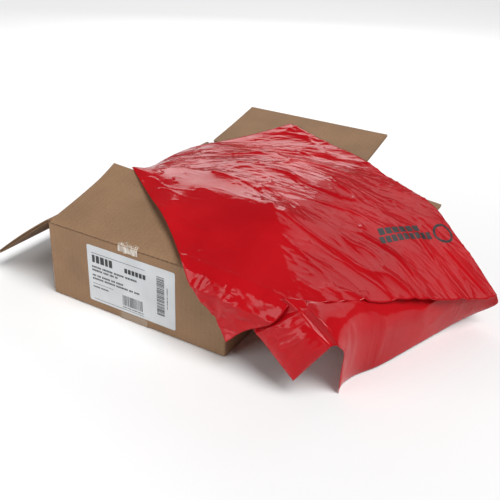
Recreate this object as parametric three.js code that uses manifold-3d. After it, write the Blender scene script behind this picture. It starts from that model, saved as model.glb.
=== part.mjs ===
// An open corrugated carton of folded film bags, with one red bag drawn out over its flaps.
// Units are millimetres, +Z is up, and the origin is the middle of the carton's base.
// +X runs along the labelled end of the carton, +Y along its long side, away from the label.

import * as THREE from 'three';
import { mergeVertices } from 'three/addons/utils/BufferGeometryUtils.js';
import Module from 'manifold-3d';

// Carton
const cartonWidth = 310;
const cartonLength = 442;
const cartonHeight = 120;
const boardThickness = 4;
const cornerSlot = 5;
const bottomSeam = 1.6;

// Top flaps, each scored along the top edge of its wall
const flapLength = 155;
const frontFlapRise = 15;
const rightFlapDroop = 6;
const leftFlapDroop = 37;
const backFlapRise = 12;
const hingeClearance = 0.3;

// Shipping label and clear tape
const labelWidth = 155;
const labelHeight = 93;
const labelFromLeft = 73;
const labelFromBase = 13;
const labelCornerRadius = 3;
const labelThickness = 0.3;
const tapeWidth = 48;
const tapeThickness = 0.3;
const frontTapeRise = 12;
const backTapeRise = 60;
const tornTapeLength = 34;
const tornTapeHeight = 9;
const tornTapeShift = -7;

// Stack of folded bags inside the carton
const stackClearance = 1;
const stackShoulder = 4;
const stackCrown = 44;
const stackSteps = 14;

// The drawn bag
const filmFold = 2;
const cornerSink = 1.6;
const filmLift = 4;
const foldRadius = 13.5;
const foldInset = 8;
const bridgeSoftness = 1.3;
const crownSharpness = 4;
const freeSlope = 0.45;
const filmStep = 16;
const floorClearance = 0.6;

const meshGap = 0.3;
const degrees = Math.PI / 180;
const halfWidth = cartonWidth / 2;
const halfLength = cartonLength / 2;
const flapWidthX = cartonWidth - 2 * cornerSlot;
const flapWidthY = cartonLength - 2 * cornerSlot;

const wasm = await Module();
wasm.setup();

const materials = {
  board: new THREE.MeshStandardMaterial({ color: 0x9c7c60, roughness: 0.9 }),
  label: new THREE.MeshStandardMaterial({ color: 0xdfe2e4, roughness: 0.6 }),
  tape: new THREE.MeshStandardMaterial({ color: 0xb59a7a, roughness: 0.25 }),
  film: new THREE.MeshStandardMaterial({ color: 0xc4161f, roughness: 0.25 }),
  foldedFilm: new THREE.MeshStandardMaterial({ color: 0x8f1219, roughness: 0.35 }),
};

// Solids are joined and cut through these two helpers.
function toSolid(geometry) {
  const bare = geometry.clone();
  bare.deleteAttribute('normal');
  bare.deleteAttribute('uv');
  const merged = mergeVertices(bare, 1e-4);
  return new wasm.Manifold(new wasm.Mesh({
    numProp: 3,
    vertProperties: new Float32Array(merged.attributes.position.array),
    triVerts: new Uint32Array(merged.index.array),
  }));
}

function toGeometry(solid) {
  const mesh = solid.getMesh();
  const geometry = new THREE.BufferGeometry();
  geometry.setAttribute('position', new THREE.BufferAttribute(new Float32Array(mesh.vertProperties), 3));
  geometry.setIndex(new THREE.BufferAttribute(new Uint32Array(mesh.triVerts), 1));
  geometry.computeVertexNormals();
  return geometry;
}

function box(low, high) {
  const size = high.map((value, axis) => value - low[axis]);
  const geometry = new THREE.BoxGeometry(...size);
  geometry.translate(...low.map((value, axis) => value + size[axis] / 2));
  return geometry;
}

function node(name, geometry, material) {
  const mesh = new THREE.Mesh(geometry, material);
  mesh.name = name;
  return mesh;
}

// Carton: four walls, a bottom with its open seam, and the two top flaps that the bag pins down.
function cartonBody() {
  const outer = toSolid(box([-halfWidth, -halfLength, 0], [halfWidth, halfLength, cartonHeight]));
  const inner = toSolid(box(
    [-halfWidth + boardThickness, -halfLength + boardThickness, boardThickness],
    [halfWidth - boardThickness, halfLength - boardThickness, cartonHeight + 1]));
  const seam = toSolid(box(
    [-bottomSeam / 2, -halfLength - 1, -1],
    [bottomSeam / 2, halfLength + 1, boardThickness / 2]));
  const tapeRecess = toSolid(box(
    [-tapeWidth / 2 - meshGap, -halfLength - 1, -1],
    [tapeWidth / 2 + meshGap, halfLength + 1, tapeThickness]));
  return outer.subtract(inner).subtract(seam).subtract(tapeRecess)
    .add(frontFlap()).add(rightFlap());
}

function frontFlap() {
  const panel = box([-flapWidthX / 2, 0, -0.5], [flapWidthX / 2, flapLength, boardThickness]);
  panel.rotateX(frontFlapRise * degrees);
  panel.translate(0, -halfLength, cartonHeight);
  return toSolid(panel);
}

function rightFlap() {
  const panel = box([-boardThickness / 2, -flapWidthY / 2, 0], [flapLength, flapWidthY / 2, boardThickness]);
  panel.rotateY(rightFlapDroop * degrees);
  panel.translate(halfWidth, 0, cartonHeight - boardThickness * 0.25);
  return toSolid(panel);
}

// The left flap hangs outward over its score, and turns about the outer top edge of its wall.
function leftFlap() {
  const panel = box([-flapLength, -flapWidthY / 2, hingeClearance], [-hingeClearance, flapWidthY / 2, boardThickness]);
  const hinged = new THREE.Group();
  hinged.add(node('left_flap', panel, materials.board));
  hinged.rotation.y = -leftFlapDroop * degrees;
  hinged.position.set(-halfWidth - hingeClearance, 0, cartonHeight);
  return hinged;
}

// The back flap lies folded outward under the bag's far corner.
function backFlap() {
  const panel = box([-flapWidthX / 2, hingeClearance, hingeClearance], [flapWidthX / 2, flapLength, boardThickness]);
  const hinged = new THREE.Group();
  hinged.add(node('back_flap', panel, materials.board));
  hinged.rotation.x = backFlapRise * degrees;
  hinged.position.set(0, halfLength + hingeClearance, cartonHeight);
  return hinged;
}

function shippingLabel() {
  const left = -halfWidth + labelFromLeft;
  const radius = labelCornerRadius;
  const outline = new THREE.Shape();
  outline.moveTo(left + radius, labelFromBase);
  outline.lineTo(left + labelWidth - radius, labelFromBase);
  outline.absarc(left + labelWidth - radius, labelFromBase + radius, radius, -Math.PI / 2, 0);
  outline.absarc(left + labelWidth - radius, labelFromBase + labelHeight - radius, radius, 0, Math.PI / 2);
  outline.absarc(left + radius, labelFromBase + labelHeight - radius, radius, Math.PI / 2, Math.PI);
  outline.absarc(left + radius, labelFromBase + radius, radius, Math.PI, Math.PI * 1.5);
  const sheet = new THREE.ExtrudeGeometry(outline, { depth: labelThickness, bevelEnabled: false, curveSegments: 6 });
  sheet.rotateX(Math.PI / 2);
  sheet.translate(0, -halfLength, 0);
  return node('shipping_label', sheet, materials.label);
}

// One strip of tape runs under the bottom seam and up both end walls.
function bottomTape() {
  const half = tapeWidth / 2;
  const under = toSolid(box([-half, -halfLength - tapeThickness, 0], [half, halfLength + tapeThickness, tapeThickness]));
  const frontEnd = toSolid(box([-half, -halfLength - tapeThickness, 0], [half, -halfLength, frontTapeRise]));
  const backEnd = toSolid(box([-half, halfLength, 0], [half, halfLength + tapeThickness, backTapeRise]));
  return node('bottom_tape', toGeometry(under.add(frontEnd).add(backEnd)), materials.tape);
}

// What is left of the tape that closed the top, torn off along the fold
function tornTape() {
  const half = tornTapeLength / 2;
  const strip = box(
    [tornTapeShift - half, -halfLength - tapeThickness, cartonHeight - tornTapeHeight],
    [tornTapeShift + half, -halfLength, cartonHeight - meshGap]);
  return node('torn_tape', strip, materials.tape);
}

// Heights of what the film rests on
const frontFlapReach = flapLength * Math.cos(frontFlapRise * degrees);
const frontFlapEdge = -halfLength + frontFlapReach;
const rightFlapReach = flapLength * Math.cos(rightFlapDroop * degrees);
const rightFlapEdge = halfWidth + rightFlapReach;

function frontFlapTop(y) {
  const along = Math.min(y, frontFlapEdge) + halfLength;
  return cartonHeight + along * Math.tan(frontFlapRise * degrees) + boardThickness / Math.cos(frontFlapRise * degrees);
}

function rightFlapTop(x) {
  const out = Math.max(0, Math.min(x, rightFlapEdge) - halfWidth);
  return cartonHeight + boardThickness - out * Math.tan(rightFlapDroop * degrees);
}

function backFlapTop(y) {
  return cartonHeight + boardThickness + Math.max(0, y - halfLength) * Math.tan(backFlapRise * degrees);
}

function stackTop(x, y) {
  const halfX = halfWidth - boardThickness - stackClearance;
  const halfY = halfLength - boardThickness - stackClearance;
  const crossFall = 1 - Math.min(1, Math.abs(x) / halfX) ** crownSharpness;
  const alongFall = 1 - Math.min(1, Math.abs(y) / halfY) ** crownSharpness;
  return cartonHeight - stackShoulder + stackCrown * crossFall * alongFall;
}

// A closed block whose top follows a height function over a lattice
function reliefBlock(xs, ys, base, height) {
  const positions = [];
  for (const lift of [0, 1]) {
    for (const y of ys) {
      for (const x of xs) positions.push(x, y, lift ? height(x, y) : base);
    }
  }
  return closedLattice(positions, xs.length, ys.length);
}

// Joins two layers of lattice points, the lower one first, into one closed shell
function closedLattice(positions, columns, rows) {
  const layer = columns * rows;
  const faces = [];
  const quad = (a, b, c, d) => faces.push(a, b, c, a, c, d);
  for (let row = 0; row < rows - 1; row += 1) {
    for (let column = 0; column < columns - 1; column += 1) {
      const at = row * columns + column;
      quad(at, at + columns, at + columns + 1, at + 1);
      quad(layer + at, layer + at + 1, layer + at + columns + 1, layer + at + columns);
    }
  }
  for (let column = 0; column < columns - 1; column += 1) {
    const last = (rows - 1) * columns + column;
    quad(column, column + 1, layer + column + 1, layer + column);
    quad(last + 1, last, layer + last, layer + last + 1);
  }
  for (let row = 0; row < rows - 1; row += 1) {
    const left = row * columns;
    const right = left + columns - 1;
    quad(left + columns, left, layer + left, layer + left + columns);
    quad(right, right + columns, layer + right + columns, layer + right);
  }
  const geometry = new THREE.BufferGeometry();
  geometry.setAttribute('position', new THREE.BufferAttribute(new Float32Array(positions), 3));
  geometry.setIndex(faces);
  return geometry;
}

function spread(low, high, steps) {
  return Array.from({ length: steps + 1 }, (_, index) => low + (high - low) * index / steps);
}

function foldedBagStack() {
  const halfX = halfWidth - boardThickness - stackClearance;
  const halfY = halfLength - boardThickness - stackClearance;
  const underFlap = (y) => frontFlapTop(y) - (boardThickness + 0.5) / Math.cos(frontFlapRise * degrees) - meshGap;
  const top = (x, y) => (y < frontFlapEdge + filmStep ? Math.min(stackTop(x, y), underFlap(y)) : stackTop(x, y));
  const block = reliefBlock(
    spread(-halfX, halfX, stackSteps), spread(-halfY, halfY, stackSteps), boardThickness + meshGap, top);
  return node('folded_bag_stack', toGeometry(toSolid(block)), materials.foldedFilm);
}

// Film height over the carton. Right of the middle the film bridges from the stack to the flap's edge.
function filmHeight(x, y) {
  const halfY = halfLength - boardThickness - stackClearance;
  const alongFall = 1 - Math.min(1, Math.abs(y) / halfY) ** crownSharpness;
  const bridge = 1 - Math.min(1, Math.max(0, x) / rightFlapEdge) ** bridgeSoftness;
  const crown = rightFlapTop(x) + (stackCrown - stackShoulder) * bridge * alongFall;
  const past = Math.max(0, x - halfWidth - cornerSlot);
  const flap = y < frontFlapEdge + filmStep ? frontFlapTop(y) - past : 0;
  const left = x < 0 ? stackTop(x, y) : 0;
  const middle = x < 0 ? 0 : crown;
  const back = backFlapTop(y) - past * 0.5;
  const beyond = Math.max(0, x - rightFlapEdge - filmLift);
  return Math.max(flap, left, middle, back, rightFlapTop(x)) + filmLift - beyond * freeSlope;
}

// The film's plan is drawn flat and then folded over the front edge of the carton:
// what lies nearer than foldStart turns down round an arc and hangs in front of the label.
const foldStart = -halfLength + foldInset;
const foldLength = foldRadius * Math.PI / 2;

function drape(x, v, outward) {
  if (v >= foldStart) return [x, v, filmHeight(x, v) + outward];
  const centre = filmHeight(x, foldStart) - foldRadius;
  const past = foldStart - v;
  if (past < foldLength) {
    const turn = Math.PI / 2 + past / foldRadius;
    const reach = foldRadius + outward;
    return [x, foldStart + reach * Math.cos(turn), centre + reach * Math.sin(turn)];
  }
  return [x, foldStart - foldRadius - outward, centre - (past - foldLength)];
}

// Plan position that hangs at a given height in front of the carton
function hanging(x, z) {
  const centre = filmHeight(x, foldStart) - foldRadius;
  return [x, foldStart - foldLength - (centre - z)];
}

function smoothCurve(points) {
  return new THREE.CatmullRomCurve3(
    points.map(([x, y, z = 0]) => new THREE.Vector3(x, y, z)), false, 'centripetal');
}

// A patch filled in between four edge curves: first and last run across, near and far run along.
function patch(first, last, near, far) {
  const corner = (curve, t) => curve.getPoint(t);
  return (s, t) => {
    const a = first.getPoint(t).multiplyScalar(1 - s).add(last.getPoint(t).multiplyScalar(s));
    const b = near.getPoint(s).multiplyScalar(1 - t).add(far.getPoint(s).multiplyScalar(t));
    const c = corner(first, 0).multiplyScalar((1 - s) * (1 - t))
      .add(corner(last, 0).multiplyScalar(s * (1 - t)))
      .add(corner(first, 1).multiplyScalar((1 - s) * t))
      .add(corner(last, 1).multiplyScalar(s * t));
    return a.add(b).sub(c);
  };
}

// Turns a patch into a closed sheet: place(point, side) gives a point of the lower or upper face.
function closedSheet(surface, columns, rows, place) {
  const positions = [];
  for (const side of [0, 1]) {
    for (let row = 0; row <= rows; row += 1) {
      for (let column = 0; column <= columns; column += 1) {
        positions.push(...place(surface(column / columns, row / rows), side));
      }
    }
  }
  return toSolid(closedLattice(positions, columns + 1, rows + 1));
}

function drapedSheet(surface, columns, rows, sink) {
  return closedSheet(surface, columns, rows,
    (point, side) => drape(point.x, point.y, side ? filmFold : -sink));
}

// Offsets a free patch to both sides along its normal, and keeps it off the floor
function freeSheet(surface, columns, rows) {
  const nudge = 1e-3;
  const positions = [];
  for (const side of [0, 1]) {
    for (let row = 0; row <= rows; row += 1) {
      for (let column = 0; column <= columns; column += 1) {
        const s = Math.min(Math.max(column / columns, nudge), 1 - nudge);
        const t = Math.min(Math.max(row / rows, nudge), 1 - nudge);
        const along = surface(s + nudge, t).sub(surface(s - nudge, t));
        const across = surface(s, t + nudge).sub(surface(s, t - nudge));
        const normal = along.cross(across).normalize().multiplyScalar((side - 0.5) * filmFold);
        const point = surface(column / columns, row / rows).add(normal);
        point.z = Math.max(point.z, floorClearance + side * filmFold);
        positions.push(point.x, point.y, point.z);
      }
    }
  }
  return toSolid(closedLattice(positions, columns + 1, rows + 1));
}

// Where the bag lies, as plan points on the carton and heights in front of it
const bagCorner = {
  left: [-halfWidth + 36, frontFlapEdge + 4],
  back: [-40, halfLength + 112],
  nearTip: hanging(halfWidth + 2, 34),
  mouth: [rightFlapEdge + 132, 65],
};

const leftEdge = smoothCurve([
  bagCorner.left,
  [-halfWidth + 22, 0],
  [-halfWidth + 10, 55],
  [-halfWidth + 8, 115],
  [-halfWidth + 16, 170],
  [-halfWidth + 50, halfLength + 20],
  bagCorner.back,
]);

const nearEdge = smoothCurve([
  bagCorner.left,
  [-42, -halfLength + 97],
  [35, -halfLength + 41],
  [86, foldStart - foldLength / 2],
  hanging(109, 96),
  hanging(138, 60),
  bagCorner.nearTip,
]);

const mouthEdge = smoothCurve([
  bagCorner.nearTip,
  hanging(halfWidth + 31, 54),
  hanging(halfWidth + 69, 84),
  [rightFlapEdge - 56, -halfLength + 16],
  [rightFlapEdge - 13, -halfLength + 56],
  [rightFlapEdge + 24, -118],
  [rightFlapEdge + 58, -67],
  [rightFlapEdge + 99, -5],
  bagCorner.mouth,
]);

const sideFold = [
  [rightFlapEdge + 4, 197],
  [rightFlapEdge + 36, 172],
  [rightFlapEdge + 91, 115],
  bagCorner.mouth,
];

const farEdge = smoothCurve([
  bagCorner.back,
  [65, halfLength + 74],
  [halfWidth, halfLength + 47],
  [halfWidth + 72, halfLength + 18],
  ...sideFold,
]);

// The lower layer shows past the lip: its corner hangs off the flap as a pointed tongue.
const tongue = patch(
  smoothCurve([hanging(halfWidth + 44, 66), [halfWidth + 45, foldStart], [halfWidth + 46, -halfLength + 71]]),
  smoothCurve([hanging(rightFlapEdge + 7, 92), [rightFlapEdge + 7, foldStart], [rightFlapEdge + 7, -halfLength + 71]]),
  smoothCurve([hanging(halfWidth + 44, 66), hanging(halfWidth + 106, 11), hanging(rightFlapEdge - 2, 82),
    hanging(rightFlapEdge + 7, 92)]),
  smoothCurve([[halfWidth + 46, -halfLength + 71], [rightFlapEdge + 7, -halfLength + 71]]));

function onFilm([x, y]) {
  return [x, y, filmHeight(x, y) + filmFold / 2];
}

// Below the flap's outer edge the lower layer falls to the floor, so the mouth gapes.
const apronTop = smoothCurve([
  onFilm([rightFlapEdge + 4, foldStart]),
  onFilm([rightFlapEdge + 4, 0]),
  onFilm(sideFold[0]),
]);
const lowerLip = smoothCurve([
  [rightFlapEdge + 9, -halfLength + 13, floorClearance],
  [rightFlapEdge + 13, -176, floorClearance],
  [rightFlapEdge + 33, -119, floorClearance],
  [rightFlapEdge + 65, -47, floorClearance],
  [rightFlapEdge + 99, 22, floorClearance + 3],
  [rightFlapEdge + 128, 60, 14],
  [rightFlapEdge + 138, 72, 30],
  onFilm(bagCorner.mouth),
]);
const apronNear = smoothCurve([
  onFilm([rightFlapEdge + 4, foldStart]),
  [rightFlapEdge + 15, foldStart - 6, 80],
  [rightFlapEdge + 12, foldStart, 40],
  [rightFlapEdge + 9, -halfLength + 13, floorClearance],
]);
const apronFar = smoothCurve(sideFold.map(onFilm));

function drawnBag() {
  const top = drapedSheet(patch(leftEdge, mouthEdge, nearEdge, farEdge), 30, 24, 0);
  const corner = drapedSheet(tongue, 8, 18, cornerSink);
  const apron = freeSheet(patch(apronTop, lowerLip, apronNear, apronFar), 8, 16);
  return node('drawn_bag', toGeometry(top.add(corner).add(apron)), materials.film);
}

const carton = new THREE.Group();
carton.add(node('carton_body', toGeometry(cartonBody()), materials.board));
carton.add(leftFlap(), backFlap(), shippingLabel(), bottomTape(), tornTape(), foldedBagStack(), drawnBag());

export default carton;
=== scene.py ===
import math

import bpy
import numpy as np
from mathutils import Matrix, Vector, noise


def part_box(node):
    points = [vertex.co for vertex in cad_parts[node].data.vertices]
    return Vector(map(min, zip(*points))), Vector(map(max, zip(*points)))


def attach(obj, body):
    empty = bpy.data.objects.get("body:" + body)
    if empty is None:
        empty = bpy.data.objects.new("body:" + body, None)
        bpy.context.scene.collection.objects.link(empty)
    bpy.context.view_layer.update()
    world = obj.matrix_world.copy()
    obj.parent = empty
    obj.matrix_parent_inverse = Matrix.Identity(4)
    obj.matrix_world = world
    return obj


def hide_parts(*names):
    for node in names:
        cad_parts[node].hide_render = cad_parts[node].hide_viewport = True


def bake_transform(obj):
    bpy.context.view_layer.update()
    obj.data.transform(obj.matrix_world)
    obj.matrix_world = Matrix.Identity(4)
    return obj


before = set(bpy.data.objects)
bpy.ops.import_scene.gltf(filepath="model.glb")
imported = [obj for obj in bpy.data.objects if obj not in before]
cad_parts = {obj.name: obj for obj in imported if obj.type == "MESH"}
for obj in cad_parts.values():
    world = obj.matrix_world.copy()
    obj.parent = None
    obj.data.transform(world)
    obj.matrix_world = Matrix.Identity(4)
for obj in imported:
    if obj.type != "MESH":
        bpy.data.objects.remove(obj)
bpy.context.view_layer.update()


# The carton, in millimetres. Its width and length come from the frame.
MM = 0.001
BODY_LOW = np.array(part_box("carton_body")[0]) / MM
LABEL_LOW, LABEL_HIGH = (np.array(corner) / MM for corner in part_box("shipping_label"))
HALF_WIDTH = -BODY_LOW[0]
HALF_LENGTH = -LABEL_HIGH[1]
WALL_TOP = 120.0
BOARD = 4.0
FLAP = 155.0
FRONT_RISE = math.radians(15)
RIGHT_DROOP = math.radians(6)
LEFT_DROOP = math.radians(37)
BACK_RISE = math.radians(12)
FRONT_EDGE = -HALF_LENGTH + FLAP * math.cos(FRONT_RISE)
RIGHT_EDGE = HALF_WIDTH + FLAP * math.cos(RIGHT_DROOP)

# The film, in millimetres. It folds down over the carton's front edge on FOLD_RADIUS.
FILM_THICK = 0.5
FILM_LIFT = 1.6
FOLD_INSET = 7.0
FOLD_RADIUS = 14.0
FOLD_START = -HALF_LENGTH + FOLD_INSET
FOLD_LENGTH = FOLD_RADIUS * math.pi / 2
FREE_SLOPE = 0.45

# The pile of folded bags: its edge lies STACK_SHOULDER under the walls' top, and its middle
# stands STACK_CROWN above that. Its creases are turned in plan, and its shell is a first thickness.
STACK_CROWN = 44.0
STACK_SHOULDER = 4.0
STACK_FOLD_TURN = 1.45
STACK_SHELL = 10.0

# Corrugated board: a wavy medium between two liners, in millimetres
FLUTE_PITCH = 7.8
LINER = 0.5
MEDIUM = 0.35


# Edges flatter than this are shaded smooth, on sheets and on blocks
SHEET_SMOOTH = math.radians(40)
BLOCK_SMOOTH = math.radians(50)


def fresh(name):
    """The object just added, named, with its place left in its mesh."""
    thing = bpy.context.object
    thing.name = name
    bpy.ops.object.transform_apply(location=True, rotation=True, scale=True)
    return thing


def read_points(thing):
    """The points of a mesh in metres, one to a row."""
    flat = np.zeros(len(thing.data.vertices) * 3)
    thing.data.vertices.foreach_get("co", flat)
    return flat.reshape(-1, 3)


def write_points(thing, points):
    thing.data.vertices.foreach_set("co", np.ascontiguousarray(points).ravel())
    thing.data.update()


def join(name, pieces):
    """Joins pieces into one object."""
    bpy.ops.object.select_all(action="DESELECT")
    for piece in pieces:
        piece.select_set(True)
    bpy.context.view_layer.objects.active = pieces[0]
    bpy.ops.object.join()
    whole = bpy.context.object
    whole.name = name
    return whole


def select_faces(thing, wanted):
    """Selects faces by their place or normal, from edit mode, and stays there."""
    bpy.ops.mesh.select_mode(type="FACE")
    bpy.ops.mesh.select_all(action="DESELECT")
    bpy.ops.object.mode_set(mode="OBJECT")
    for face in thing.data.polygons:
        face.select = wanted(face)
    bpy.ops.object.mode_set(mode="EDIT")


def flat_grid(name, columns, rows):
    """A new flat grid, with the places s and t of its points, which run from 0 to 1."""
    bpy.ops.object.select_all(action="DESELECT")
    bpy.ops.mesh.primitive_grid_add(x_subdivisions=columns, y_subdivisions=rows, size=1.0)
    grid = fresh(name)
    flat = read_points(grid)
    return grid, flat[:, 0] + 0.5, flat[:, 1] + 0.5


def thicken(sheet, thickness, offset=0.0):
    """Makes a sheet solid, half to each side of it, or below it where offset is -1."""
    solid = sheet.modifiers.new("thickness", "SOLIDIFY")
    solid.thickness = thickness * MM
    solid.offset = offset
    bpy.ops.object.modifier_apply(modifier=solid.name)


def add_grid(name, columns, rows, shape, thickness):
    """A thin closed sheet from a grid that is moved to shape(s, t), in millimetres."""
    sheet, s, t = flat_grid(name, columns, rows)
    write_points(sheet, shape(s, t) * MM)
    thicken(sheet, thickness)
    bpy.ops.object.shade_smooth_by_angle(angle=SHEET_SMOOTH)
    return sheet


def turned(angle, axis, place):
    """A turn about an axis, and then a move to a place."""
    return Matrix.Translation(place) @ Matrix.Rotation(angle, 4, axis)


def give(node, material):
    """Gives a CAD node that stays its finished material."""
    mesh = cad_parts[node].data
    mesh.materials.clear()
    mesh.materials.append(material)


# Colours that materials share, and how far the board's fibres are stretched
BLACK = (0.0, 0.0, 0.0, 1.0)
WHITE = (1.0, 1.0, 1.0, 1.0)
FIBRE_STRETCH = (60.0, 60.0, 260.0)


class Shading:
    """A material's node tree, with short calls to add and join nodes."""

    def __init__(self, name):
        self.material = bpy.data.materials.new(name)
        self.material.use_nodes = True
        self.tree = self.material.node_tree
        self.shader = self.tree.nodes["Principled BSDF"]
        self.place = self.add("ShaderNodeTexCoord").outputs["Object"]

    def add(self, kind, **values):
        node = self.tree.nodes.new(kind)
        for key, value in values.items():
            setattr(node, key, value)
        return node

    def link(self, source, target):
        self.tree.links.new(source, target)

    def feed(self, value, socket):
        """Joins another node's output to a socket, or sets it to a plain value."""
        if isinstance(value, bpy.types.NodeSocket):
            self.link(value, socket)
        else:
            socket.default_value = value

    def stretched(self, scale):
        mapping = self.add("ShaderNodeMapping")
        mapping.inputs["Scale"].default_value = scale
        self.link(self.place, mapping.inputs["Vector"])
        return mapping.outputs["Vector"]

    def noise(self, vector, scale, detail=4.0, rough=0.5):
        node = self.add("ShaderNodeTexNoise")
        node.inputs["Scale"].default_value = scale
        node.inputs["Detail"].default_value = detail
        node.inputs["Roughness"].default_value = rough
        self.link(vector, node.inputs["Vector"])
        return node.outputs["Fac"]

    def ridges(self, vector, scale, detail, distortion):
        """Sharp crests with smooth hollows between them, stretched by scale."""
        mapping = self.add("ShaderNodeMapping")
        mapping.inputs["Scale"].default_value = scale
        self.link(vector, mapping.inputs["Vector"])
        node = self.add("ShaderNodeTexNoise", noise_type="RIDGED_MULTIFRACTAL")
        node.inputs["Scale"].default_value = 1.0
        node.inputs["Detail"].default_value = detail
        node.inputs["Roughness"].default_value = 0.55
        node.inputs["Offset"].default_value = 0.9
        node.inputs["Gain"].default_value = 1.6
        node.inputs["Distortion"].default_value = distortion
        self.link(mapping.outputs["Vector"], node.inputs["Vector"])
        return node.outputs["Fac"]

    def ramp(self, source, stops):
        node = self.add("ShaderNodeValToRGB")
        first, last = node.color_ramp.elements
        first.position, first.color = stops[0]
        last.position, last.color = stops[-1]
        for position, color in stops[1:-1]:
            node.color_ramp.elements.new(position).color = color
        self.link(source, node.inputs["Fac"])
        return node.outputs["Color"]

    def mix(self, factor, first, second, mode="MIX"):
        node = self.add("ShaderNodeMix", data_type="RGBA", blend_type=mode)
        self.feed(factor, node.inputs[0])
        self.feed(first, node.inputs[6])
        self.feed(second, node.inputs[7])
        return node.outputs[2]

    def math(self, operation, first, second=0.0):
        node = self.add("ShaderNodeMath", operation=operation)
        self.feed(first, node.inputs[0])
        self.feed(second, node.inputs[1])
        return node.outputs[0]

    def axis(self, index):
        split = self.add("ShaderNodeSeparateXYZ")
        self.link(self.place, split.inputs[0])
        return split.outputs[index]

    def bump(self, height, distance, strength=1.0):
        node = self.add("ShaderNodeBump")
        node.inputs["Strength"].default_value = strength
        node.inputs["Distance"].default_value = distance
        self.link(height, node.inputs["Height"])
        self.link(node.outputs["Normal"], self.shader.inputs["Normal"])


def red_film(name, depth):
    """Glossy red film that glows where light comes through; depth under 1 makes it darker."""
    film = Shading(name)
    lane = film.add("ShaderNodeAttribute", attribute_name="lane")
    split = film.add("ShaderNodeSeparateXYZ")
    film.link(lane.outputs["Vector"], split.inputs[0])
    crumple = split.outputs[2]
    cloud = film.noise(film.place, 9.0, 3.0)
    deep = (0.47 * depth, 0.004, 0.009, 1.0)
    bright = (0.58 * depth, 0.007, 0.013, 1.0)
    film.link(film.ramp(cloud, [(0.35, deep), (0.65, bright)]), film.shader.inputs["Base Color"])
    film.link(film.math("ADD", film.math("MULTIPLY", cloud, 0.14), 0.05), film.shader.inputs["Roughness"])
    film.shader.inputs["Specular IOR Level"].default_value = 0.24
    long_folds = film.ridges(lane.outputs["Vector"], (8.0, 28.0, 0.0), 2.0, 0.9)
    short_folds = film.ridges(lane.outputs["Vector"], (26.0, 80.0, 0.0), 1.5, 0.8)
    patches = film.ramp(film.noise(film.place, 22.0, 1.0), [(0.42, BLACK), (0.6, WHITE)])
    short_folds = film.math("MULTIPLY", short_folds, patches)
    folds = film.math("ADD", long_folds, film.math("MULTIPLY", short_folds, 0.35))
    film.bump(film.math("MULTIPLY", folds, crumple), 0.0007, 1.0)
    glow = film.add("ShaderNodeBsdfTranslucent")
    glow.inputs["Color"].default_value = (0.85 * depth, 0.012, 0.02, 1.0)
    both = film.add("ShaderNodeMixShader")
    both.inputs["Fac"].default_value = 0.22
    film.link(film.shader.outputs["BSDF"], both.inputs[1])
    film.link(glow.outputs["BSDF"], both.inputs[2])
    film.link(both.outputs["Shader"], film.tree.nodes["Material Output"].inputs["Surface"])
    return film.material


def kraft_board(name, flute_axis):
    """Brown board with fibres, blotches and the faint lines of its flutes, counted along an axis; the flute
    lines are a bump and painted shade in its colour.
    """
    kraft = Shading(name)
    fibre = kraft.noise(kraft.stretched(FIBRE_STRETCH), 9.0, 6.0, 0.65)
    blotch = kraft.noise(kraft.place, 14.0, 3.0, 0.5)
    color = kraft.ramp(fibre, [(0.25, (0.205, 0.118, 0.065, 1.0)), (0.5, (0.265, 0.158, 0.089, 1.0)),
                               (0.8, (0.325, 0.202, 0.118, 1.0))])
    shade = kraft.ramp(blotch, [(0.3, (0.86, 0.86, 0.86, 1.0)), (0.7, (1.06, 1.05, 1.04, 1.0))])
    tinted = kraft.mix(1.0, color, shade, "MULTIPLY")
    turns = kraft.math("MULTIPLY", kraft.axis(flute_axis), 2 * math.pi / (FLUTE_PITCH * MM))
    wave = kraft.math("SINE", turns)
    # The flutes' lines are painted shade: the colour is darkened and lightened in stripes that follow the
    # bump.
    painted_flute_shade = kraft.math("ADD", kraft.math("MULTIPLY", wave, 0.018), 1.0)
    flute_shaded_color = kraft.mix(1.0, tinted, painted_flute_shade, "MULTIPLY")
    kraft.link(flute_shaded_color, kraft.shader.inputs["Base Color"])
    kraft.shader.inputs["Roughness"].default_value = 0.82
    kraft.shader.inputs["Specular IOR Level"].default_value = 0.25
    relief = kraft.math("ADD", kraft.math("MULTIPLY", wave, 0.35), kraft.math("MULTIPLY", fibre, 0.6))
    kraft.bump(relief, 0.00012, 0.6)
    return kraft.material


def plain_finish(name, color, roughness):
    """One colour with a fine grain."""
    finish = Shading(name)
    finish.shader.inputs["Roughness"].default_value = roughness
    grain = finish.noise(finish.place, 400.0, 3.0)
    lifted = tuple(min(1.0, 1.12 * value) for value in color[:3]) + (1.0,)
    finish.link(finish.ramp(grain, [(0.3, color), (0.7, lifted)]), finish.shader.inputs["Base Color"])
    finish.bump(grain, 0.00005, 0.4)
    return finish.material


def label_paper():
    """Bluish white paper that isn't quite flat."""
    paper = Shading("label_paper")
    cloud = paper.noise(paper.place, 30.0, 4.0)
    paper.link(paper.ramp(cloud, [(0.3, (0.50, 0.515, 0.53, 1.0)), (0.7, (0.57, 0.585, 0.60, 1.0))]),
               paper.shader.inputs["Base Color"])
    paper.shader.inputs["Roughness"].default_value = 0.45
    paper.bump(paper.noise(paper.place, 25.0, 2.0), 0.0006, 0.5)
    return paper.material


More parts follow.
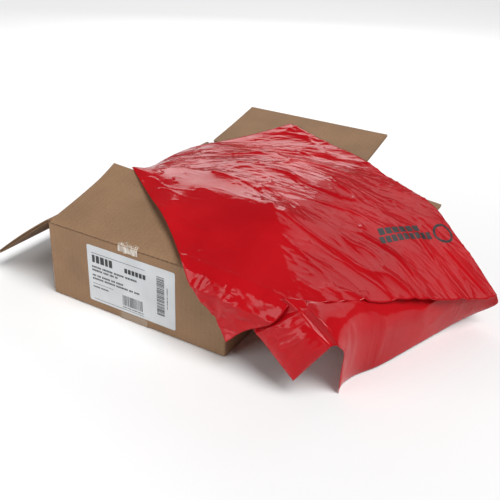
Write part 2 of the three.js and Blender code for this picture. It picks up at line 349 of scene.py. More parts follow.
def clear_tape(name):
    """Clear tape on board: the board's fibres under a glossy coat."""
    tape = Shading(name)
    fibre = tape.noise(tape.stretched(FIBRE_STRETCH), 9.0, 6.0, 0.65)
    tape.link(tape.ramp(fibre, [(0.3, (0.22, 0.145, 0.09, 1.0)), (0.7, (0.31, 0.215, 0.14, 1.0))]),
              tape.shader.inputs["Base Color"])
    tape.shader.inputs["Roughness"].default_value = 0.16
    tape.shader.inputs["Coat Weight"].default_value = 0.6
    tape.shader.inputs["Coat Roughness"].default_value = 0.08
    tape.bump(tape.noise(tape.stretched((30.0, 30.0, 160.0)), 3.0, 3.0), 0.0008, 0.5)
    return tape.material


# A smooth line is worked out in steps between its points, and given in even samples
LINE_STEPS = 60
LINE_SAMPLES = 600


def smooth_line(points, samples=LINE_SAMPLES):
    """A smooth line through points, given as evenly spaced samples."""
    points = np.array(points, float)
    padded = np.vstack([2 * points[0] - points[1], points, 2 * points[-1] - points[-2]])
    pieces = []
    for index in range(len(points) - 1):
        a, b, c, d = padded[index:index + 4]
        t = np.linspace(0, 1, LINE_STEPS)[:, None]
        pieces.append(0.5 * (2 * b + (c - a) * t + (2 * a - 5 * b + 4 * c - d) * t ** 2
                             + (3 * b - a - 3 * c + d) * t ** 3))
    line = np.vstack(pieces)
    run = np.concatenate([[0], np.cumsum(np.linalg.norm(np.diff(line, axis=0), axis=1))])
    even = np.linspace(0, run[-1], samples)
    return np.stack([np.interp(even, run, line[:, axis]) for axis in range(line.shape[1])], axis=1)


def on_line(line, t):
    """Points of a sampled line at t, which runs from 0 to 1."""
    place = t * (len(line) - 1)
    return np.stack([np.interp(place, np.arange(len(line)), line[:, axis])
                     for axis in range(line.shape[1])], axis=1)


def patch(first, last, near, far, s, t):
    """Fills in between four edge lines. s runs from first to last, t from near to far."""
    s, t = s[:, None], t[:, None]
    across = on_line(first, t[:, 0]) * (1 - s) + on_line(last, t[:, 0]) * s
    along = on_line(near, s[:, 0]) * (1 - t) + on_line(far, s[:, 0]) * t
    corners = (first[0] * (1 - s) * (1 - t) + last[0] * s * (1 - t)
               + first[-1] * (1 - s) * t + last[-1] * s * t)
    return across + along - corners


def smooth_max(heights, softness=3.0):
    """The highest of several surfaces, with the valleys between them rounded."""
    stack = np.stack(heights)
    top = stack.max(axis=0)
    return top + softness * np.log(np.exp((stack - top) / softness).sum(axis=0))


def stretched_noise(x, y, along, across, seed, turn=0.0):
    """Noise whose lumps are along by across millimetres, turned by an angle in radians."""
    c, s = math.cos(turn), math.sin(turn)
    u = (x * c + y * s) / along
    w = (y * c - x * s) / across
    return np.array([noise.noise((a, b, seed)) for a, b in zip(u, w)])


def ridged(values, sharpness=2.0):
    """Turns noise into crests of height 1 where it passes through zero."""
    return (1 - np.minimum(1, np.abs(values) * 2.2)) ** sharpness


def neighbour_mean(grid):
    """The mean of the four neighbours of each inner point of a grid."""
    return 0.25 * (grid[:-2, 1:-1] + grid[2:, 1:-1] + grid[1:-1, :-2] + grid[1:-1, 2:])


def even_out(heights):
    """Moves every height to the mean of its four neighbours."""
    return neighbour_mean(np.pad(heights, 1, mode="edge"))


def cubic_weights(f):
    """How much each of four grid lines counts at f, between the second and the third."""
    return np.stack([-0.5 * f + f ** 2 - 0.5 * f ** 3, 1 - 2.5 * f ** 2 + 1.5 * f ** 3,
                     0.5 * f + 2 * f ** 2 - 1.5 * f ** 3, -0.5 * f ** 2 + 0.5 * f ** 3])


def front_flap_top(y):
    along = np.minimum(y, FRONT_EDGE) + HALF_LENGTH
    return WALL_TOP + along * math.tan(FRONT_RISE) + BOARD / math.cos(FRONT_RISE)


def right_flap_top(x):
    out = np.clip(x, HALF_WIDTH, RIGHT_EDGE) - HALF_WIDTH
    return WALL_TOP + BOARD - out * math.tan(RIGHT_DROOP)


def back_flap_top(y):
    return WALL_TOP + BOARD + np.maximum(0, y - HALF_LENGTH) * math.tan(BACK_RISE)


def stack_top(x, y):
    cross = 1 - np.minimum(1, np.abs(x) / (HALF_WIDTH - 5)) ** 4
    along = 1 - np.minimum(1, np.abs(y) / (HALF_LENGTH - 5)) ** 4
    return WALL_TOP - STACK_SHOULDER + STACK_CROWN * cross * along


def rest_height(x, y):
    """Height of the film where it lies on the carton, and of its free slope past the right flap."""
    along = 1 - np.minimum(1, np.abs(y) / (HALF_LENGTH - 5)) ** 4
    bridge = 1 - np.minimum(1, np.maximum(0, x) / RIGHT_EDGE) ** 1.3
    middle = np.where(x < 0, 0, right_flap_top(x) + (STACK_CROWN - STACK_SHOULDER) * bridge * along)
    left = np.where(x < 0, stack_top(x, y), 0)
    past = np.maximum(0, x - HALF_WIDTH - 5)
    step = np.maximum(0, y - FRONT_EDGE - 6)
    front = front_flap_top(y) - past - step * 1.2
    back = back_flap_top(y) - past * 0.5
    height = smooth_max([front, middle + left, back, right_flap_top(x)])
    beyond = np.maximum(0, x - RIGHT_EDGE - 2)
    return height + FILM_LIFT - beyond * FREE_SLOPE


def line_distance(x, y, points):
    """Distance of each plan point from a line through points, its side, and its place along it."""
    line = smooth_line(points, LINE_STEPS)
    best = np.full(len(x), 1e9)
    side = np.zeros(len(x))
    place = np.zeros(len(x))
    for index in range(len(line) - 1):
        a, b = line[index], line[index + 1]
        d = b - a
        f = np.clip(((x - a[0]) * d[0] + (y - a[1]) * d[1]) / (d @ d), 0, 1)
        off_x, off_y = x - a[0] - f * d[0], y - a[1] - f * d[1]
        far = np.hypot(off_x, off_y)
        near = far < best
        best = np.where(near, far, best)
        side = np.where(near, np.sign(d[0] * off_y - d[1] * off_x), side)
        place = np.where(near, (index + f) / (len(line) - 1), place)
    return best, side, place


def crease(x, y, points, height, ahead, behind, fade=0.12):
    """A sharp fold along a line, that falls off over different widths on its two sides."""
    far, side, place = line_distance(x, y, points)
    width = np.where(side > 0, behind, ahead)
    ends = np.clip(place / fade, 0, 1) * np.clip((1 - place) / fade, 0, 1)
    return height * ends * np.exp(-far / width)


# The film's main ridge, as points of its plan
MAIN_RIDGE = [(-122, -66), (-62, -30), (20, -14), (84, -26),
              (132, -66), (180, -128), (216, -172), (252, -212)]
RIDGE_HEIGHT = 6.0

# The pulled film's heights, on an even grid of its plan
MAP_LOW = np.array([-176.0, -236.0])
MAP_STEP = 3.0
MAP_SIZE = (220, 206)
PULL_STEPS = 260
SOFTEN_STEPS = 12
REST_GIVE = 0.8


def pull_taut():
    """Pulls the film taut over the stack, the flaps and its own main ridge."""
    rulers = [low + MAP_STEP * np.arange(size) for low, size in zip(MAP_LOW, MAP_SIZE)]
    x, y = np.meshgrid(*rulers, indexing="ij")
    flat = (x.ravel(), y.ravel())
    rest = rest_height(*flat)
    ridge = crease(*flat, MAIN_RIDGE, RIDGE_HEIGHT, 14.0, 22.0, 0.06)
    held = (rest + ridge).reshape(MAP_SIZE)
    heights = held
    for _ in range(PULL_STEPS):
        heights = np.maximum(held, even_out(heights))
    soft = heights
    for _ in range(SOFTEN_STEPS):
        soft = even_out(soft)
    keep = (ridge.reshape(MAP_SIZE) / RIDGE_HEIGHT) ** 0.5
    soft = soft * (1 - keep) + heights * keep
    return np.maximum(soft, rest.reshape(MAP_SIZE) - REST_GIVE)


TAUT = pull_taut()
FLOW_CENTRE = np.array([202.0, -427.0])


def film_height(x, y):
    """Height of the pulled film over a plan point, from the grid."""
    u = np.clip((x - MAP_LOW[0]) / MAP_STEP, 1, MAP_SIZE[0] - 3.001)
    w = np.clip((y - MAP_LOW[1]) / MAP_STEP, 1, MAP_SIZE[1] - 3.001)
    i, j = u.astype(int), w.astype(int)
    across, along = cubic_weights(u - i), cubic_weights(w - j)
    height = np.zeros(len(u))
    for a in range(4):
        for b in range(4):
            height += across[a] * along[b] * TAUT[i + a - 1, j + b - 1]
    return height


def flow(x, v):
    """Place of a plan point along and across the wrinkles, which run in wide arcs."""
    out_x, out_v = x - FLOW_CENTRE[0], v - FLOW_CENTRE[1]
    across = np.hypot(out_x, out_v)
    return np.arctan2(out_x, out_v) * across, across


# How far the hem kicks out for each millimetre below its line
HEM_FLARE = 0.4


def film_relief(x, v):
    """Folds and wrinkles of the top film, in millimetres out of its surface.

    Each line of stretched noise is one size of fold, in the place where the film has it: behind
    the main ridge, in the quiet face before it, or where the film hangs down the carton's front.
    """
    u, w = flow(x, v)
    far, side, _ = line_distance(x, v, MAIN_RIDGE)
    behind = np.clip((far * side + 1) / 9, 0, 1)
    hang = np.clip((FOLD_START - v) / 20, 0, 1)
    patchy = np.clip(0.5 + 1.6 * stretched_noise(u, w, 90, 60, 21.5), 0, 1)
    broken = np.clip(0.5 + 1.8 * stretched_noise(u, w, 60, 35, 33.5), 0, 1)
    relief = 4.0 * stretched_noise(u, w, 170, 60, 3.1) * behind
    relief += 3.8 * ridged(stretched_noise(u, w, 130, 46, 7.7, 0.12), 5) * behind * patchy
    relief += 2.0 * ridged(stretched_noise(u, w, 80, 26, 1.3, -0.22), 5) * behind * broken
    relief += 0.9 * ridged(stretched_noise(u, w, 50, 13, 5.9, 0.30), 4) * behind * (1 - 0.8 * patchy)
    quiet = (1 - behind) * (1 - hang)
    edge, _, _ = line_distance(x, v, LEFT_EDGE[::LINE_STEPS])
    relief *= np.clip(edge / 30, 0.12, 1)
    relief += 1.2 * ridged(stretched_noise(u, w, 60, 12, 9.2, -0.5), 8) * quiet * patchy
    relief += 3.6 * stretched_noise(u, w, 48, 24, 4.4, 0.5) * hang
    relief += 1.8 * ridged(stretched_noise(u, w, 34, 16, 6.4, 0.6), 2) * hang
    relief += 0.7 * ridged(stretched_noise(u, w, 22, 9, 2.6, -0.7), 2) * hang
    below = np.maximum(0, FOLD_START - FOLD_LENGTH * 0.6 - v)
    relief += 11.5 * np.clip(below / 24, 0, 1) * np.clip(1 - (below - 22) / 60, 0.3, 1)
    return relief + flared_hem(x, v)


def flared_hem(x, v):
    """The hem in front of the carton kicks outward below a line across it."""
    left, right = hanging(HALF_WIDTH - 17, 62), hanging(HALF_WIDTH + 70, 92)
    start = np.interp(x, [left[0], right[0]], [left[1], right[1]])
    return np.maximum(0, start - v) * HEM_FLARE


def hanging(x, z):
    """Plan position of a point that hangs at height z in front of the carton."""
    x = np.atleast_1d(np.float64(x))
    centre = rest_height(x, np.full_like(x, FOLD_START)) - FOLD_RADIUS
    return [float(x[0]), float(FOLD_START - FOLD_LENGTH - (centre[0] - z))]


def folded_over_front(x, v, lift, height_at):
    """Folds the film's plan over the front edge of the carton. lift is measured out of the film."""
    points = np.stack([x, v, height_at(x, v) + lift], axis=1)
    centre = height_at(x, np.full_like(x, FOLD_START)) - FOLD_RADIUS
    past = FOLD_START - v
    turn = math.pi / 2 + np.clip(past / FOLD_RADIUS, 0, math.pi / 2)
    drop = np.maximum(0, past - FOLD_LENGTH)
    reach = FOLD_RADIUS + lift
    round_part = np.stack([x, FOLD_START + reach * np.cos(turn),
                           centre + reach * np.sin(turn) - drop], axis=1)
    return np.where((past > 0)[:, None], round_part, points)


# The plan outline of the bag's top layer, from corner to corner
LEFT = [-HALF_WIDTH + 36, FRONT_EDGE + 4]
BACK = [-40, HALF_LENGTH + 112]
NEAR_TIP = hanging(HALF_WIDTH + 15, 42)
MOUTH = [RIGHT_EDGE + 137, 64]

LEFT_EDGE = smooth_line([
    LEFT, [-HALF_WIDTH + 22, 0], [-HALF_WIDTH + 10, 55], [-HALF_WIDTH + 8, 115],
    [-HALF_WIDTH + 16, 170], [-HALF_WIDTH + 50, HALF_LENGTH + 20], BACK])
NEAR_EDGE = smooth_line([
    LEFT, [-42, -HALF_LENGTH + 97], [35, -HALF_LENGTH + 41], [86, FOLD_START - FOLD_LENGTH / 2],
    hanging(116, 97), hanging(147, 63), NEAR_TIP])
LIP_EDGE = smooth_line([
    NEAR_TIP, hanging(HALF_WIDTH + 40, 66), hanging(HALF_WIDTH + 78, 92),
    [HALF_WIDTH + 100, -HALF_LENGTH + 12], [HALF_WIDTH + 120, -HALF_LENGTH + 25],
    [HALF_WIDTH + 143, -HALF_LENGTH + 49],
    [RIGHT_EDGE + 12, -HALF_LENGTH + 79], [RIGHT_EDGE + 50, -81], [RIGHT_EDGE + 79, -36],
    [RIGHT_EDGE + 109, 12], [RIGHT_EDGE + 130, 44], MOUTH])
SIDE_FOLD = [[RIGHT_EDGE - 6, 186], [RIGHT_EDGE + 34, 156], [RIGHT_EDGE + 92, 110], MOUTH]
FAR_EDGE = smooth_line([
    BACK, [65, HALF_LENGTH + 74], [HALF_WIDTH, HALF_LENGTH + 42], [HALF_WIDTH + 72, HALF_LENGTH + 8],
    *SIDE_FOLD])


def material_guide(x, v, crumple):
    """What the film's material reads at each point: place along and across the wrinkles, and how crumpled."""
    u, w = flow(x, v)
    return np.stack([u * MM, w * MM, crumple], axis=1)


def top_shape(s, t):
    plan = patch(LEFT_EDGE, LIP_EDGE, NEAR_EDGE, FAR_EDGE, s, t)
    x, v = plan[:, 0], plan[:, 1]
    far, side, _ = line_distance(x, v, MAIN_RIDGE)
    crumple = np.clip((far * side + 4) / 20, 0, 1) * 0.85 + 0.15
    crumple = np.maximum(crumple, np.clip((FOLD_START + 4 - v) / 16, 0, 1))
    return folded_over_front(x, v, film_relief(x, v), film_height), material_guide(x, v, crumple)


# The lower layer of the bag: a corner that hangs off the right flap, and the side that falls to the floor
CORNER_LEFT = [203, -231, 69]
CORNER_TIP = [270, -246, 27]
CORNER_RIGHT = [311, -234, 89]
CORNER_TOP = [262, -226, 119]
DARK_FOLD = smooth_line([[270, -225, 124], [288, -230, 119], [304, -232, 106], [318, -233, 91]])
FLAP_CLEARANCE = 5.0
CORNER_CRUMPLE = 0.5
APRON_CRUMPLE = 0.3


def net(rows, s, t):
    """A sheet over a net of corner points; s and t run from 0 to 2 over its two spans each way."""
    points = np.zeros((len(s), 3))
    rows = np.array(rows, float)
    for i in range(3):
        for j in range(3):
            weight = np.clip(1 - np.abs(s - j), 0, 1) * np.clip(1 - np.abs(t - i), 0, 1)
            points += weight[:, None] * rows[i, j]
    return points


def corner_shape(s, t):
    """The square corner that hangs from the flap, with the narrow strip beside it."""
    across = np.where(s < 0.84, s / 0.84, 1 + (s - 0.84) / 0.16)
    up = np.where(t < 0.72, t / 0.72, 1 + (t - 0.72) / 0.28)
    points = net([[CORNER_TIP, CORNER_RIGHT, [319, -232, 92]],
                  [CORNER_LEFT, CORNER_TOP, [272, -226, 124]],
                  [[182, -226, 96], [240, -222, 126], [262, -212, 125]]], across, up)
    strip = np.clip(across - 1, 0, 1)
    bow = np.sin(np.clip(up, 0, 1) * math.pi) * strip
    points[:, 0] += 5.0 * bow
    points[:, 2] += 4.0 * bow
    x, z = points[:, 0], points[:, 2]
    inside = np.clip(across, 0, 1) * np.clip(1 - across, 0, 1)
    inside = 16 * inside * np.clip(up, 0, 1) * np.clip(1 - up, 0, 1)
    bulge = 13.0 * inside ** 0.8 + 5.0 * stretched_noise(x, z, 40, 20, 2.2, 0.9) * inside ** 0.5
    bulge += 1.0 * ridged(stretched_noise(x, z, 22, 7, 6.1, 0.8)) * inside ** 0.5
    crease_top = np.exp(-np.abs(up - 0.93) * 30) * np.clip(1 - strip * 4, 0, 1)
    bulge += 2.2 * crease_top + 2.0 * np.exp(-np.abs(across - 0.97) * 40)
    points[:, 1] -= bulge * 0.92
    points[:, 2] += bulge * 0.35
    return points, material_guide(x, z, np.full(len(x), CORNER_CRUMPLE))


def film_point(x, y, sink):
    """A point that lies sink millimetres under the film's surface."""
    height = film_height(np.atleast_1d(np.float64(x)), np.atleast_1d(np.float64(y)))
    return [x, y, float(height[0]) - sink]


def clear_of_flap(points):
    """Moves points that are inside the right flap out through its nearest face."""
    x, y, z = points[..., 0], points[..., 1], points[..., 2]
    up = right_flap_top(x) + FLAP_CLEARANCE - z
    out = RIGHT_EDGE + FLAP_CLEARANCE - x
    ahead = y + HALF_LENGTH + FLAP_CLEARANCE
    inside = (up > 0) & (out > 0) & (ahead > 0)
    least = np.minimum(np.minimum(up, out), ahead)
    points[..., 2] += np.where(inside & (least == up), up, 0)
    points[..., 0] += np.where(inside & (least == out), out, 0)
    points[..., 1] -= np.where(inside & (least == ahead), ahead, 0)
    return points


def pull_round_flap(points, columns, steps):
    """Pulls a sheet taut round the flap while its four edges stay where they are."""
    grid = points.reshape(-1, columns + 1, 3)
    for _ in range(steps):
        grid[1:-1, 1:-1] = clear_of_flap(neighbour_mean(grid))
    for _ in range(SOFTEN_STEPS):
        grid[1:-1, 1:-1] = neighbour_mean(grid)
    return grid.reshape(-1, 3)


# The fall's grid, and how often it is pulled taut round the flap
APRON_GRID = (56, 90)
APRON_PULLS = 120


def apron_shape(s, t):
    """The lower layer's fall from under the lip to the floor. s runs down, t away from the camera."""
    lip = on_line(LIP_EDGE, np.linspace(0.42, 1.0, 60))
    top = smooth_line([DARK_FOLD[0], film_point(262, -196, 3.0)] + [
        film_point(x - 14, y + 11, 3.0) for x, y in lip[10:-6:6]] + [film_point(*MOUTH, 0.0)])
    floor = smooth_line([
        [317, -206, 0.8], [313, -193, 1.2], [321, -161, 1.6], [342, -121, 2.0], [369, -49, 3.0],
        [399, 29, 5.0], [420, 62, 12.0], [438, 72, 24.0], [RIGHT_EDGE + 140, 70, 38.0],
        film_point(*MOUTH, 0.0)])
    near = smooth_line([*DARK_FOLD[::120], DARK_FOLD[-1], [321, -216, 71], [318, -210, 36], [317, -206, 0.8]])
    far = smooth_line([film_point(*MOUTH, 0.0), film_point(*MOUTH, 0.01)])
    points = patch(top, floor, near, far, s, t)
    points = pull_round_flap(clear_of_flap(points), APRON_GRID[0], APRON_PULLS)
    x, y = points[:, 0], points[:, 1]
    free = np.clip(s * (1 - s) * t * (1 - t) * 30, 0, 1)
    ripple = 3.0 * stretched_noise(x, y, 80, 34, 8.3, 0.9)
    ripple += 2.4 * ridged(stretched_noise(x, y, 60, 16, 2.9, 1.0), 3)
    points[:, 2] += ripple * free * 0.7
    points[:, 0] += np.maximum(ripple, 0) * free * 0.6
    points[:, 2] = np.maximum(points[:, 2], 0.7)
    return points, material_guide(x, y, np.full(len(x), APRON_CRUMPLE))


def film_sheet(name, columns, rows, shape, material):
    """A sheet of film from a grid that is moved to shape(s, t), which gives its guide as well."""
    sheet, s, t = flat_grid(name, columns, rows)
    points, guide = shape(s, t)
    write_points(sheet, points * MM)
    lane = sheet.data.attributes.new("lane", "FLOAT_VECTOR", "POINT")
    lane.data.foreach_set("vector", guide.ravel())
    thicken(sheet, FILM_THICK)
    bpy.ops.object.shade_smooth()
    sheet.data.materials.append(material)
    return sheet


# The bag folded in half lengthwise. The area drawn out isn't known from the real bag.
# The grids give how finely the top layer and the hanging corner are divided.
TOP_GRID = (206, 176)
CORNER_GRID = (60, 60)


def add_bag():
    film = red_film("red_film", 1.0)
    top = film_sheet("top_layer", *TOP_GRID, top_shape, film)
    corner = film_sheet("corner_layer", *CORNER_GRID, corner_shape, film)
    apron = film_sheet("lower_layer", *APRON_GRID, apron_shape, film)
    bag = join("drawn_film_bag", [top, corner, apron])
    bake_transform(bag)
    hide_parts("drawn_bag")


# How far the ink stands off the film, and how thick it is, in millimetres
INK_LIFT = 0.35
INK_THICK = 0.12


def on_film(plan):
    """Puts points of the film's plan on its outside, just clear of it."""
    x, v = plan[:, 0], plan[:, 1]
    return folded_over_front(x, v, film_relief(x, v) + INK_LIFT, film_height)


def print_patch(corners):
    """A printed mark that follows the film: corners are (near left, near right, far left, far right)."""
    a, b, c, d = (np.array(corner, float) for corner in corners)

    def shape(s, t):
        s, t = s[:, None], t[:, None]
        return on_film((a * (1 - s) + b * s) * (1 - t) + (c * (1 - s) + d * s) * t)
    return shape


def add_marks():
    """Generic print on the bag: two rows of blocks and a plain ring beside them."""
    ink = plain_finish("film_ink", (0.012, 0.010, 0.012, 1.0), 0.35)
    along = np.array([47.0, 93.0]) / 104.2
    up = np.array([-0.62, 0.78])
    start = np.array([287.0, -8.0])
    pieces = []

    def block(a, low, width, height):
        near_left = start + along * a + up * low
        near_right = near_left + along * width
        corners = (near_left, near_right, near_left + up * height, near_right + up * height)
        columns = max(4, int(width * 1.2))
        pieces.append(add_grid("mark", columns, 8, print_patch(corners), INK_THICK))

    for row, (low, count, width) in enumerate([(25.0, 6, 12.0), (5.0, 9, 9.6)]):
        for index in range(count):
            block(index * (width + 2.6) + 4.0 * (1 - row), low, width, 16.0)
    centre = start + along * 136.0 + up * 14.0

    def ring(s, t):
        turn = s * 2 * math.pi
        radius = 16.0 + t * 5.0
        right = along * (radius * np.cos(turn))[:, None]
        return on_film(centre + right + up * (radius * np.sin(turn))[:, None])

    pieces.append(add_grid("mark", 90, 6, ring, INK_THICK))
    marks = join("printed_marks", pieces)
    marks.data.materials.append(ink)
    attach(marks, "carton")


def corrugated_panel(name, width, length, warp, place, material):
    """Two liners with a wavy medium between them. The flutes run along the panel's length."""
    flutes = round(width / FLUTE_PITCH)

    def layer(height, wave):
        def shape(s, t):
            x = (s - 0.5) * width
            y = t * length
            z = height + wave * np.sin(2 * math.pi * s * flutes)
            return np.stack([x, y, z], axis=1)
        return shape

    liners = [add_grid("liner", 48, 30, layer(height, 0.0), LINER)
              for height in (LINER / 2, BOARD - LINER / 2)]
    wave = BOARD / 2 - LINER - MEDIUM / 2
    medium = add_grid("medium", flutes * 8, 30, layer(BOARD / 2, wave), MEDIUM)
    panel = join(name, liners + [medium])
    points = warp(read_points(panel) / MM)
    matrix = np.array(place)
    points = points @ matrix[:3, :3].T + matrix[:3, 3]
    write_points(panel, points * MM)
    bpy.ops.object.material_slot_remove_unused()
    panel.data.materials.append(material)
    return panel


# A flap's fold: how far its root dips into the score, over what run, and the groove beyond it
SCORE_DIP = 2.6
SCORE_RUN = 5.0
GROOVE_DEPTH = 0.5
GROOVE_PLACE = 6.5
GROOVE_WIDTH = 1.6
CURL_START = (84.0, 111.6)
CURL_RUN = (66.0, 43.4)


def scored(points, sag=0.0, curl=0.0, dip=SCORE_DIP):
    """Rounds the panel down into its score line, and lets its middle sag or a corner curl."""
    x, y = points[:, 0], points[:, 1]
    points[:, 2] -= dip * np.clip(1 - y / SCORE_RUN, 0, 1) ** 2
    points[:, 2] -= GROOVE_DEPTH * np.exp(-((y - GROOVE_PLACE) / GROOVE_WIDTH) ** 2)
    points[:, 2] -= sag * np.sin(np.clip(y / FLAP, 0, 1) * math.pi)
    corner = np.clip((-x - CURL_START[0]) / CURL_RUN[0], 0, 1)
    corner *= np.clip((y - CURL_START[1]) / CURL_RUN[1], 0, 1)
    points[:, 2] += curl * corner ** 1.5
    return points


# The walls' rounded corners, the slit between the bottom flaps, and how the board bulges and wears
CORNER_RADIUS = 2.6
SLIT_HALF = 0.8
SLIT_DEPTH = 2.0
WALL_BULGE = 2.2
EDGE_WEAR = 0.9


def cut_through(place, normal):
    """Cuts the mesh in edit mode along a plane through a place in metres."""
    bpy.ops.mesh.select_all(action="SELECT")
    bpy.ops.mesh.bisect(plane_co=place, plane_no=normal)


def add_walls(material_x, material_y):
    """The carton's four walls and bottom: a block that is inset and hollowed from above."""
    bpy.ops.object.select_all(action="DESELECT")
    bpy.ops.mesh.primitive_cube_add(size=1.0, location=(0.0, 0.0, WALL_TOP * MM / 2),
                                    scale=(2 * HALF_WIDTH * MM, 2 * HALF_LENGTH * MM, WALL_TOP * MM))
    walls = fresh("walls")
    mesh = walls.data
    bpy.ops.object.mode_set(mode="EDIT")
    bpy.ops.mesh.select_all(action="DESELECT")
    bpy.ops.object.mode_set(mode="OBJECT")
    for edge in mesh.edges:
        a, b = (mesh.vertices[index].co for index in edge.vertices)
        edge.select = abs(a.z - b.z) > 0.05
    bpy.ops.object.mode_set(mode="EDIT")
    bpy.ops.mesh.select_mode(type="EDGE")
    bpy.ops.mesh.bevel(offset=CORNER_RADIUS * MM, segments=4, affect="EDGES")
    select_faces(walls, lambda face: face.normal.z > 0.9)
    bpy.ops.mesh.inset(thickness=BOARD * MM)
    bpy.ops.mesh.extrude_region_move(TRANSFORM_OT_translate={"value": (0.0, 0.0, -(WALL_TOP - BOARD) * MM)})
    for side in (-SLIT_HALF, SLIT_HALF):
        cut_through((side * MM, 0.0, 0.0), (1.0, 0.0, 0.0))
    select_faces(walls, lambda face: face.normal.z < -0.9 and abs(face.center.x) < 0.7 * MM)
    bpy.ops.mesh.extrude_region_move(TRANSFORM_OT_translate={"value": (0.0, 0.0, SLIT_DEPTH * MM)})
    for height in np.linspace(8, WALL_TOP - 8, 14):
        cut_through((0.0, 0.0, height * MM), (0.0, 0.0, 1.0))
    for place in np.linspace(-HALF_WIDTH + 10, HALF_WIDTH - 10, 20):
        cut_through((place * MM, 0.0, 0.0), (1.0, 0.0, 0.0))
    for place in np.linspace(-HALF_LENGTH + 10, HALF_LENGTH - 10, 24):
        cut_through((0.0, place * MM, 0.0), (0.0, 1.0, 0.0))
    bpy.ops.object.mode_set(mode="OBJECT")
    points = read_points(walls) / MM
    x, y, z = points[:, 0].copy(), points[:, 1].copy(), points[:, 2].copy()
    rise = np.sin(np.clip(z / WALL_TOP, 0, 1) * math.pi)
    bulge_x = WALL_BULGE * rise * np.cos(np.clip(y / HALF_LENGTH, -1, 1) * math.pi / 2)
    points[:, 0] += np.where(np.abs(x) > HALF_WIDTH - 5, np.sign(x) * bulge_x, 0)
    ragged = np.array([noise.noise((a / 14, b / 14, 0.0)) for a, b in zip(x, y)])
    at_end = np.abs(np.abs(y) - HALF_LENGTH) < 1
    points[:, 2] += np.where((z < 1.0) & at_end, np.maximum(0, ragged) * EDGE_WEAR, 0)
    write_points(walls, points * MM)
    mesh.materials.append(material_x)
    mesh.materials.append(material_y)
    for face in mesh.polygons:
        face.material_index = 1 if abs(face.normal.x) > 0.7 else 0
    bpy.ops.object.shade_smooth_by_angle(angle=BLOCK_SMOOTH)
    return walls


# How much shorter a flap is than its wall, at each end
FLAP_END_GAP = 5.0


def add_carton():
    board_x = kraft_board("kraft_flutes_across_x", 0)
    board_y = kraft_board("kraft_flutes_across_y", 1)
    walls = add_walls(board_x, board_y)
    flap_x, flap_y = 2 * (HALF_WIDTH - FLAP_END_GAP), 2 * (HALF_LENGTH - FLAP_END_GAP)
    front = corrugated_panel(
        "front", flap_x, FLAP, lambda p: scored(p, 2.0, 4.0),
        turned(FRONT_RISE, "X", (0.0, -HALF_LENGTH, WALL_TOP)), board_x)
    quarter_turn = Matrix.Rotation(math.pi / 2, 4, "Z")
    right = corrugated_panel(
        "right", flap_y, FLAP, scored,
        turned(RIGHT_DROOP, "Y", (HALF_WIDTH, 0.0, WALL_TOP)) @ quarter_turn.inverted(), board_y)
    carton = join("carton_board", [walls, front, right])
    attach(carton, "carton")
    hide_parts("carton_body")
    left = corrugated_panel(
        "left_top_flap", flap_y, FLAP - 0.5, lambda p: scored(p, -2.0),
        turned(-LEFT_DROOP, "Y", (-HALF_WIDTH - 0.3, 0.0, WALL_TOP)) @ quarter_turn, board_y)
    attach(left, "left_flap")
    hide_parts("left_flap")
    back = corrugated_panel(
        "back_top_flap", flap_x, FLAP - 1.6, lambda p: scored(p, 1.0, dip=0.3),
        turned(BACK_RISE, "X", (0.0, HALF_LENGTH + 1.4, WALL_TOP + 0.2)), board_x)
    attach(back, "back_flap")
    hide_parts("back_flap")


def add_stack():
    """The folded bags in the carton: a crowned pile whose top film is creased and lapped."""
    low, high = (np.array(corner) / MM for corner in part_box("folded_bag_stack"))

    def top(s, t):
        x = low[0] + s * (high[0] - low[0])
        y = low[1] + t * (high[1] - low[1])
        under = front_flap_top(y) - BOARD - 2.0
        height = np.where(y < FRONT_EDGE + 20, np.minimum(stack_top(x, y), under), stack_top(x, y))
        folds = 2.2 * ridged(stretched_noise(x, y, 150, 16, 12.1, STACK_FOLD_TURN))
        folds += 1.0 * ridged(stretched_noise(x, y, 60, 6, 15.3, STACK_FOLD_TURN))
        lap = 2.2 * np.floor((x + HALF_WIDTH) / 11.0 % 2.0) * np.exp(-(x + HALF_WIDTH) / 40.0)
        return np.stack([x, y, height - 4.5 + folds + lap], axis=1)

    pile, s, t = flat_grid("folded_bags", 150, 180)
    count = len(s)
    write_points(pile, top(s, t) * MM)
    thicken(pile, STACK_SHELL, -1.0)
    points = read_points(pile)
    points[count:, :2] = points[:count, :2]
    points[count:, 2] = low[2] * MM
    write_points(pile, points)
    bpy.ops.object.shade_smooth_by_angle(angle=BLOCK_SMOOTH)
    pile.data.materials.append(red_film("folded_red_film", 0.8))
    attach(pile, "carton")
    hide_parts("folded_bag_stack")


def add_bars(name, bars, front, thickness, material):
    """Printed bars on the label, each (left, low, width, height) in millimetres, as one piece."""
    pieces = []
    for left, low, width, height in bars:
        bpy.ops.object.select_all(action="DESELECT")
        bpy.ops.mesh.primitive_cube_add(
            size=1.0, scale=(width * MM, thickness * MM, height * MM),
            location=((left + width / 2) * MM, (front - thickness / 2) * MM, (low + height / 2) * MM))
        pieces.append(fresh("bar"))
    whole = join(name, pieces)
    whole.data.materials.append(material)
    return whole


def text_like(left, low, width, height, seed):
    """A row of short blocks with word gaps, standing for a line of print."""
    draw = np.random.default_rng(seed)
    blocks = []
    x = left
    while x < left + width:
        letters = draw.integers(3, 9)
        for _ in range(letters):
            block = height * draw.uniform(0.45, 0.75)
            blocks.append((x, low, block, height))
            x += block + height * 0.22
        x += height * 0.6
    return [block for block in blocks if block[0] + block[2] <= left + width]


